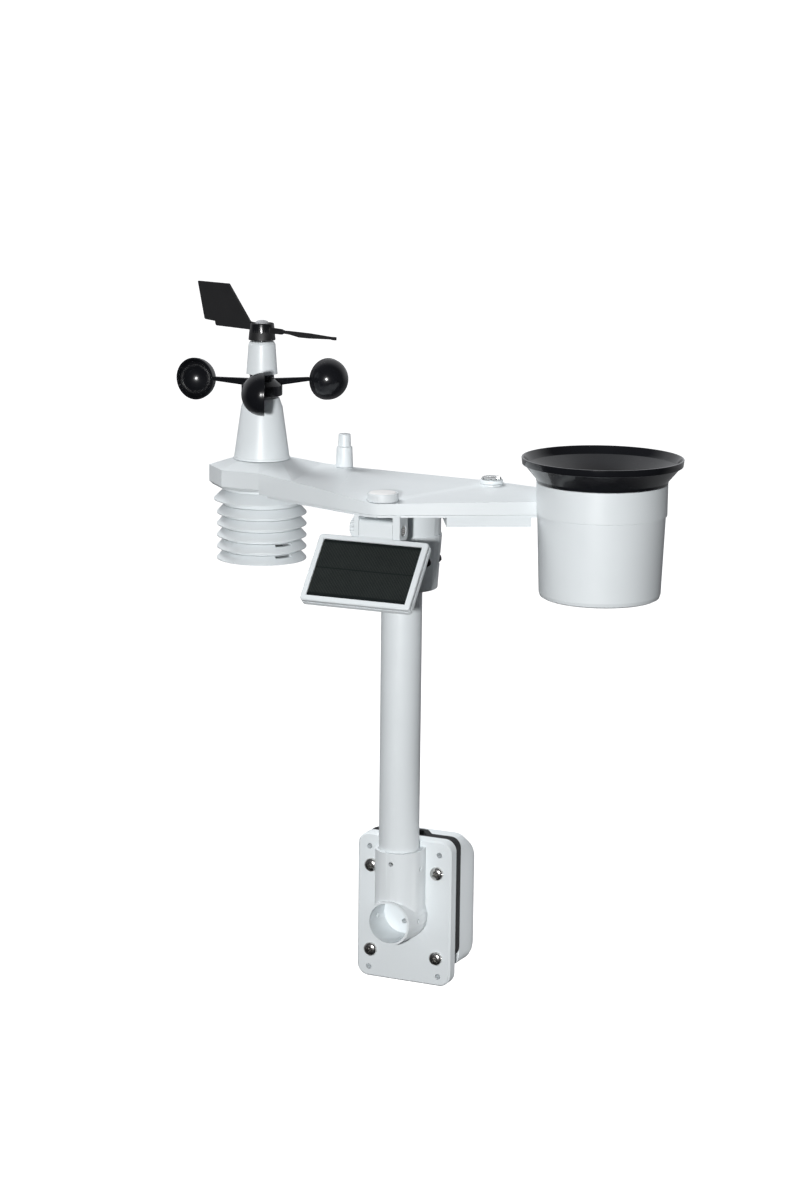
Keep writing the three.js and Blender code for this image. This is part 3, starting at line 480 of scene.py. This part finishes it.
def prism_mesh(outline, low, high):
    """A bmesh raised along Z from an outline in mm, between two heights in mm."""
    bm = bmesh.new()
    base = [bm.verts.new((mm(x), mm(y), mm(low))) for x, y in outline]
    face = bm.faces.new(base)
    lifted = bmesh.ops.extrude_face_region(bm, geom=[face])["geom"]
    moved = [g for g in lifted if isinstance(g, bmesh.types.BMVert)]
    bmesh.ops.translate(bm, vec=(0, 0, mm(high - low)), verts=moved)
    return bm


def prism(name, outline, low, high, place=(0, 0, 0)):
    piece = new_piece(name, prism_mesh(outline, low, high))
    piece.location = place
    return piece


def box_piece(name, size, place):
    """A block of that size in mm, centred on place."""
    x, y, z = (s / 2 for s in size)
    return prism(name, [(-x, -y), (x, -y), (x, y), (-x, y)], -z, z, place)


def softened(piece, width_mm, segments=3, angle=30):
    """Rounds the piece's edges, as a mould does."""
    bevel = piece.modifiers.new("bevel", "BEVEL")
    bevel.width = mm(width_mm)
    bevel.segments = segments
    bevel.limit_method = "ANGLE"
    bevel.angle_limit = math.radians(angle)
    bevel.harden_normals = True
    return piece


def flattened(piece):
    """Turns the piece's modifiers into mesh."""
    seen = piece.evaluated_get(bpy.context.evaluated_depsgraph_get())
    mesh = bpy.data.meshes.new_from_object(seen)
    piece.modifiers.clear()
    piece.data = mesh
    return piece


def combined(piece, tools, operation):
    """The piece with each tool joined on or cut away; the tools are used up."""
    for tool in tools:
        step = piece.modifiers.new("step", "BOOLEAN")
        step.operation = operation
        step.object = tool
        step.solver = "EXACT"
    bpy.context.view_layer.update()
    flattened(piece)
    for tool in tools:
        bpy.data.objects.remove(tool)
    piece.data.set_sharp_from_angle(angle=math.radians(32))
    return piece


def carved(piece, *tools):
    return combined(piece, tools, "DIFFERENCE")


def welded(piece, *tools):
    return combined(piece, tools, "UNION")


def turned_about(piece, angle, pivot):
    """Turns the piece about an upright line through a point in the row frame."""
    here = Matrix.Translation(piece.location)
    there = Matrix.Translation(pivot)
    turn = there @ Matrix.Rotation(angle, 4, "Z") @ there.inverted()
    piece.matrix_world = turn @ here
    return piece


def stands_for(piece, *nodes, material=None):
    """The piece takes the nodes' place: it rides on their body, they are hidden, and it gets the finish of
    their slot unless another material is named.
    """
    node = nodes[0]
    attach(piece, BODY_OF[node])
    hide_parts(*nodes)
    piece.data.materials.clear()
    piece.data.materials.append(MATERIALS[material or SLOT_OF[node]].material)
    return piece


def trim(piece, body, slot):
    """A small extra piece on a body."""
    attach(piece, body)
    piece.data.materials.clear()
    piece.data.materials.append(MATERIALS[slot].material)
    return piece


def crease_roof(piece):
    """Keeps the low ridges between the piece's upward faces crisp."""
    bm = bmesh.new()
    bm.from_mesh(piece.data)
    for edge in bm.edges:
        upward = all(face.normal.z > 0.5 for face in edge.link_faces)
        if upward and edge.calc_face_angle(0) > math.radians(1.5):
            edge.smooth = False
    bm.to_mesh(piece.data)
    bm.free()
    return piece


def dressed(node, edge_mm, material=None):
    """The CAD node's own shape with its flat faces cleaned up and its edges rounded."""
    bm = bmesh.new()
    bm.from_mesh(frame["nodes"][node].data)
    bmesh.ops.remove_doubles(bm, verts=bm.verts, dist=1e-6)
    bmesh.ops.dissolve_limit(bm, angle_limit=math.radians(0.4), verts=bm.verts, edges=bm.edges)
    piece = softened(new_piece(f"{node}_shape", bm), edge_mm)
    return stands_for(piece, node, material=material)


# ---------------------------------------------------------------- bracket and mast

MAST = (0.0, centre("mast").y)
MAST_R = 15
PIN_X, PIN_Z, PIN_R = 1.2, 44.5, 1.75   # the cross hole through the socket's front and the mast
BOLT_HEAD_R = 5.2


def make_mast():
    low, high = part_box("mast")
    length = (high.z - low.z) * 1000
    profile = [(MAST_R, 0), (MAST_R, length), (13.2, length), (13.2, 0)]
    tube = lathe("mast_tube", profile, (*MAST, low.z), corner=0.5)
    hole = [(0, 0), (PIN_R, 0), (PIN_R, 20), (0, 20)]
    pin = lathe("pin", hole, (mm(PIN_X), MAST[1] - mm(20), mm(PIN_Z)), axis="Y")
    stands_for(carved(tube, pin), "mast")


def cross_recess(name, reach, width, top, floor):
    """A tapering cross, cut upwards into a screw head whose crown is at height top."""
    blades = []
    for k, (x, y) in enumerate(((reach, width), (width, reach))):
        bm = prism_mesh([(-x, -y), (x, -y), (x, y), (-x, y)], top - 1, floor)
        for v in bm.verts:
            if v.co.z > mm(floor) - 1e-6:
                v.co.x *= 0.45
                v.co.y *= 0.45
        blades.append(new_piece(f"{name}_{k}", bm))
    return blades


def pan_head_screw(name, head_r, head_h, shank_r, length, pitch=0.8):
    """A cross-head screw along Z: head below 0, threaded shank up to length."""
    head = [(0, -head_h)]
    for k in range(1, 9):
        a = k / 8 * math.pi / 2
        head.append((head_r * math.sin(a) ** 0.8, -head_h * (0.25 + 0.75 * math.cos(a) ** 0.9)))
    thread = []
    z = 2.0
    while z < length - 1:
        thread += [(shank_r, z), (shank_r - 0.42, z + pitch / 2)]
        z += pitch
    profile = head + [(head_r, 0), (shank_r, 0)] + thread + [(shank_r - 0.5, length), (0, length)]
    piece = lathe(name, profile, segments=48, corner=0.12)
    cross = cross_recess(f"{name}_cross", head_r * 0.66, head_r * 0.16, -head_h, -head_h * 0.3)
    return carved(piece, *cross)


def hex_outline(across):
    r = across / math.sqrt(3)
    turns = [k * math.pi / 3 for k in range(6)]
    return [(r * math.cos(a), r * math.sin(a)) for a in turns]


def hex_nut(name, across, bore_r, thick):
    nut = prism(name, hex_outline(across), 0, thick)
    crown = lathe(f"{name}_crown", [
        (0, 0), (across * 0.5, 0), (across * 0.58, 0.6), (across * 0.58, thick - 0.6),
        (across * 0.5, thick), (0, thick),
    ], segments=48, corner=0.05)
    combined(nut, [crown], "INTERSECT")
    bore = [(0, -1), (bore_r, -1), (bore_r, thick + 1), (0, thick + 1)]
    return carved(nut, lathe(f"{name}_bore", bore, segments=32, corner=0.02))


def copy_at(source, name, place, spin):
    """Another object from source's mesh, pointing along Y."""
    piece = bpy.data.objects.new(name, source.data)
    bpy.context.scene.collection.objects.link(piece)
    piece.matrix_world = Matrix.Translation(place) @ ALONG["Y"] @ Matrix.Rotation(spin, 4, "Z")
    return piece


def make_bolts():
    low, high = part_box("bolt_1")
    head_h = 3.4
    length = (high.y - low.y) * 1000 - head_h
    screw = pan_head_screw("bolt_pattern", BOLT_HEAD_R, head_h, 2.45, length)
    nut = hex_nut("nut_pattern", 8, 2.6, 4)
    for i, spin in enumerate((0.5, 1.0, 0.25, 0.8)):
        spot = centre(f"bolt_{i + 1}")
        low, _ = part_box(f"bolt_{i + 1}")
        place = (spot.x, low.y + mm(head_h), spot.z)
        stands_for(copy_at(screw, f"cross_bolt_{i + 1}", place, spin=spin), f"bolt_{i + 1}")
        nut_low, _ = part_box(f"bolt_nut_{i + 1}")
        place = (spot.x, nut_low.y, spot.z)
        stands_for(copy_at(nut, f"hex_nut_{i + 1}", place, spin=spin), f"bolt_nut_{i + 1}")
    bpy.data.objects.remove(screw)
    bpy.data.objects.remove(nut)


def make_collar_fasteners():
    screw = pan_head_screw("collar_pattern", 2.9, 2.2, 1.5, 21.5, pitch=0.5)
    nut = hex_nut("collar_nut_pattern", 6.2, 1.65, 2.6)
    for i in (1, 2):
        low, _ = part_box(f"collar_screw_{i}")
        spot = centre(f"collar_screw_{i}")
        place = (spot.x, low.y + mm(2.2), spot.z)
        stands_for(copy_at(screw, f"small_screw_{i}", place, spin=0.4 * i), f"collar_screw_{i}")
        low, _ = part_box(f"collar_nut_{i}")
        stands_for(copy_at(nut, f"small_nut_{i}", (spot.x, low.y, spot.z), spin=0.3), f"collar_nut_{i}")
    bpy.data.objects.remove(screw)
    bpy.data.objects.remove(nut)


def make_bracket():
    dressed("stand", 0.7)
    dressed("stand_pad", 0.5)
    dressed("clamp_plate", 0.8)
    dressed("clamp_pad", 0.5)


# ---------------------------------------------------------------- arm

def make_arm():
    crease_roof(dressed("upper_shell", 0.7))
    dressed("lower_shell", 0.35)
    dressed("collar_rear", 0.5)
    dressed("battery_door", 0.3)


def make_antenna():
    low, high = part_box("antenna")
    spot = centre("antenna")
    total = (high.z - low.z) * 1000
    profile = [(0, 0), (6.5, 0), (5.8, 15), (4.75, 15.3), (4.5, total - 0.6), (3.9, total), (0, total)]
    stands_for(lathe("antenna_stub", profile, (spot.x, spot.y, low.z), corner=0.35), "antenna")


def make_light_sensor():
    low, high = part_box("uv_housing")
    spot = centre("uv_housing")
    r = (high.x - low.x) * 500
    top = (high.z - low.z) * 1000
    cup = [
        (0, 0), (r - 0.3, 0), (r, 0.4), (r, top - 0.5), (r - 0.5, top), (9.95, top),
        (9.8, top - 1.5), (0, top - 1.5),
    ]
    stands_for(lathe("sensor_cup", cup, (spot.x, spot.y, low.z), corner=0.3), "uv_housing")
    low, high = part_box("uv_diffuser")
    disc = [(0, 0), (9.6, 0), (9.6, 1.2), (8.8, 1.6), (4, 1.78), (0, 1.8)]
    stands_for(lathe("sensor_disc", disc, (spot.x, spot.y, low.z), corner=0.3), "uv_diffuser")


def make_level():
    low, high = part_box("level_housing")
    spot = centre("level_housing")
    r = (high.x - low.x) * 500
    cup = [(0, 0), (r, 0), (r, 2.6), (r - 0.9, 3), (7.5, 3), (7.4, 0.9), (0, 0.9)]
    cup = lathe("level_cup", cup, (spot.x, spot.y, low.z), corner=0.25)
    stands_for(cup, "level_housing", material="white_plastic")
    low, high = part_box("level_vial")
    dome = [(0, 0), (7.2, 0), (7.2, 2.8), (6.4, 3.6), (3.5, 3.9), (0, 4)]
    stands_for(lathe("level_dome", dome, (spot.x, spot.y, low.z), corner=0.4), "level_vial")


# ---------------------------------------------------------------- wind tower

TOWER = centre("lower_cone")


def make_cones():
    low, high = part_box("lower_cone")
    z = low.z * 1000
    stands_for(lathe("tower_cone", [
        (21, 0), (20.8, 1.4), (20.4, 2), (15.3, 375.5 - z), (12.8, 382.3 - z), (4.2, 382.3 - z),
        (4.2, 378.5 - z), (11, 378.5 - z), (13.3, 374.8 - z), (18.6, 0),
    ], (TOWER.x, TOWER.y, low.z), corner=0.5), "lower_cone")
    low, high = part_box("upper_cone")
    top = (high.z - low.z) * 1000
    stands_for(lathe("neck_cone", [
        (11.7, 0), (11.4, 1.1), (9.9, 21.7), (9, 23.5), (8.4, top), (2.1, top), (2.1, 14.6),
        (4.2, 14.6), (4.2, 3.1), (10, 0),
    ], (TOWER.x, TOWER.y, low.z), corner=0.4), "upper_cone")


def make_tower_metal():
    for node, r in (("tower_post", 4), ("vane_shaft", 2)):
        low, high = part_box(node)
        length = (high.z - low.z) * 1000
        profile = [(0, 0), (r, 0), (r, length), (0, length)]
        stands_for(lathe(f"{node}_bar", profile, (TOWER.x, TOWER.y, low.z), corner=0.4), node)


CUP_R = 15.5
CUP_WALL = 1.2
CUP_ORBIT = 56.9
FIRST_CUP = 57                  # degrees, anticlockwise from above
ROTOR_ARM_Z = 393.2
VANE_SLEEVE_Z = 424.8


def cup_profile():
    steps = 14
    outer = []
    inner = []
    for k in range(steps + 1):
        a = k / steps * math.pi / 2
        outer.append((CUP_R * math.sin(a), -CUP_R * math.cos(a)))
        inner.append(((CUP_R - CUP_WALL) * math.sin(a), -(CUP_R - CUP_WALL) * math.cos(a)))
    outer[0] = (0, -CUP_R)
    inner[0] = (0, -(CUP_R - CUP_WALL))
    lip = [(CUP_R + 0.15, 0), (CUP_R + 0.15, 1), (CUP_R - CUP_WALL, 1)]
    return outer + lip + inner[::-1]


def make_cups():
    pattern = lathe_mesh(cup_profile(), 96, 0.2)
    pattern.transform(Matrix.Rotation(-math.pi / 2, 4, "X"))
    pattern.transform(Matrix.Translation((mm(CUP_ORBIT), 0, 0)))
    height = centre("cup_1").z
    for i in range(3):
        bm = pattern.copy()
        bm.transform(Matrix.Rotation(math.radians(FIRST_CUP + 120 * i), 4, "Z"))
        cup = new_piece(f"wind_cup_{i + 1}", bm)
        cup.location = (TOWER.x, TOWER.y, height)
        stands_for(cup, f"cup_{i + 1}")
    pattern.free()


def make_rotor_hub():
    low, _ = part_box("rotor_hub")
    drum = lathe("rotor_drum", [
        (4.1, 0), (14.6, 0), (15.1, 0.5), (15.1, 7.5), (9, 12), (9, 15), (8.6, 15.4), (4.1, 15.4),
    ], (TOWER.x, TOWER.y, low.z), corner=0.6)
    arms = []
    for i in range(3):
        bm = prism_mesh(rounded([(6, -3.2), (40.7, -1.2), (40.7, 1.6), (6, 2.8)], 0.4), -1.5, 1.5)
        bm.transform(Matrix.Rotation(math.pi / 2, 4, "X"))
        bm.transform(Matrix.Rotation(math.radians(FIRST_CUP + 120 * i), 4, "Z"))
        arm = new_piece(f"rotor_arm_{i + 1}", bm)
        arm.location = (TOWER.x, TOWER.y, mm(ROTOR_ARM_Z))
        arms.append(arm)
    hub = softened(welded(drum, *arms), 0.25, segments=2, angle=45)
    stands_for(hub, "rotor_hub")


def make_vane():
    dressed("vane", 0.3, material="black_satin")
    ring = [(6, 0), (9.9, 0), (8.8, 12.2), (6, 12.2)]
    sleeve = lathe("vane_sleeve", ring, (TOWER.x, TOWER.y, mm(VANE_SLEEVE_Z)), corner=0.4)
    trim(sleeve, BODY_OF["vane"], "black_plastic")
    low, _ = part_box("vane_cap")
    dome = [(0, 0), (4.9, 0), (4.9, 0.8), (4.6, 1.4), (4.0, 2.0), (2.8, 2.5), (1.4, 2.8), (0, 2.9)]
    stands_for(lathe("vane_dome", dome, (TOWER.x, TOWER.y, low.z), corner=0.3), "vane_cap")


# ---------------------------------------------------------------- radiation shield

LOUVRES = 6
VENT_ANGLE = math.radians(-30)  # the two lowest louvres each have a slot on this side
VENT_WIDTH = 14


def make_louvres():
    for i in range(LOUVRES):
        low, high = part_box(f"louvre_{i + 1}")
        is_top = i == LOUVRES - 1
        tip_r = (high.x - low.x) * 500
        foot = -2.7 if i == 0 else 2.0
        zero = low.z * 1000 if i == 0 else low.z * 1000 + foot
        tip = zero + (1.6 if is_top else 0)
        top = high.z * 1000
        foot_z = zero + 2.7 if i == 0 else low.z * 1000
        under = zero + 4.2 if i == 0 else tip + 4
        profile = [
            (26.4, foot_z), (28.4, foot_z), (28.4, under), (tip_r - 1.1, tip), (tip_r, tip),
            (tip_r, tip + 0.9), (28.4, top), (26.4, top),
        ]
        skirt = lathe(f"louvre_ring_{i + 1}", profile, (TOWER.x, TOWER.y, 0), segments=128, corner=0.3)
        if i < 2:
            middle = (TOWER.x + mm(34), TOWER.y, mm(zero + 5.2))
            vent = box_piece(f"vent_{i}", (24, VENT_WIDTH, 1.5), middle)
            skirt = carved(skirt, turned_about(vent, VENT_ANGLE, TOWER))
        stands_for(skirt, f"louvre_{i + 1}")


def make_shield_inside():
    dressed("shield_base", 0.3)
    for i in (1, 2):
        low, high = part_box(f"tie_rod_{i}")
        spot = centre(f"tie_rod_{i}")
        top = (high.z - low.z) * 1000
        profile = [(0, 0), (2.8, 0), (2.8, 1.7), (1.4, 1.7), (1.4, top), (0, top)]
        stands_for(lathe(f"shield_rod_{i}", profile, (spot.x, spot.y, low.z), segments=40), f"tie_rod_{i}")
    low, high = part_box("humidity_probe")
    top = (high.z - low.z) * 1000
    profile = [(0, 0), (4.6, 0), (6, 2), (6, top), (0, top)]
    stands_for(lathe("probe_case", profile, (TOWER.x, TOWER.y, low.z), segments=48), "humidity_probe")


# ---------------------------------------------------------------- solar panel

PANEL_TILT = math.radians(40)
CELL = (75.2, 1.2, 45.6)


def make_panel():
    dressed("solar_housing", 0.35)
    dressed("hinge_nut", 0.15)
    dressed("hinge_screw", 0.2)
    low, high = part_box("solar_cell")
    place = (low + high) / 2
    cell = softened(box_piece("solar_sheet", CELL, (0, 0, 0)), 0.3)
    cell.matrix_world = Matrix.Translation(place) @ Matrix.Rotation(-PANEL_TILT, 4, "X")
    stands_for(cell, "solar_cell")


# ---------------------------------------------------------------- rain gauge

GAUGE = centre("gauge_body")


def make_gauge():
    dressed("gauge_body", 0.15)
    _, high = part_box("funnel")
    top = high.z * 1000
    bowl = [
        (57.2, top), (55.9, top), (54.2, top - 3.9), (53, top - 5.7), (4.2, 324), (4.2, 317.5),
        (6, 317.5), (6, 322.6), (41, 342.2), (41, 331), (42.9, 331), (42.9, 339.9), (46.3, 339.9),
        (46.6, 342), (55.2, 352.2), (56.6, 352.3),
    ]
    funnel = lathe("funnel_bowl", bowl, (GAUGE.x, GAUGE.y, 0), segments=160, corner=0.5)
    stands_for(funnel, "funnel", material="black_gloss")


def dress_hidden_nodes():
    """The nodes that keep their CAD shape get their slot's finish."""
    for node, shape in frame["nodes"].items():
        shape.data.materials.clear()
        shape.data.materials.append(MATERIALS[SLOT_OF[node]].material)


# ---------------------------------------------------------------- the whole scene

bpy.context.scene.view_settings.view_transform = "Standard"
add_studio()
dress_hidden_nodes()
make_mast()
make_bracket()
make_bolts()
make_collar_fasteners()
make_arm()
make_antenna()
make_light_sensor()
make_level()
make_cones()
make_tower_metal()
make_cups()
make_rotor_hub()
make_vane()
make_louvres()
make_shield_inside()
make_panel()
make_gauge()

bpy.context.view_layer.update()
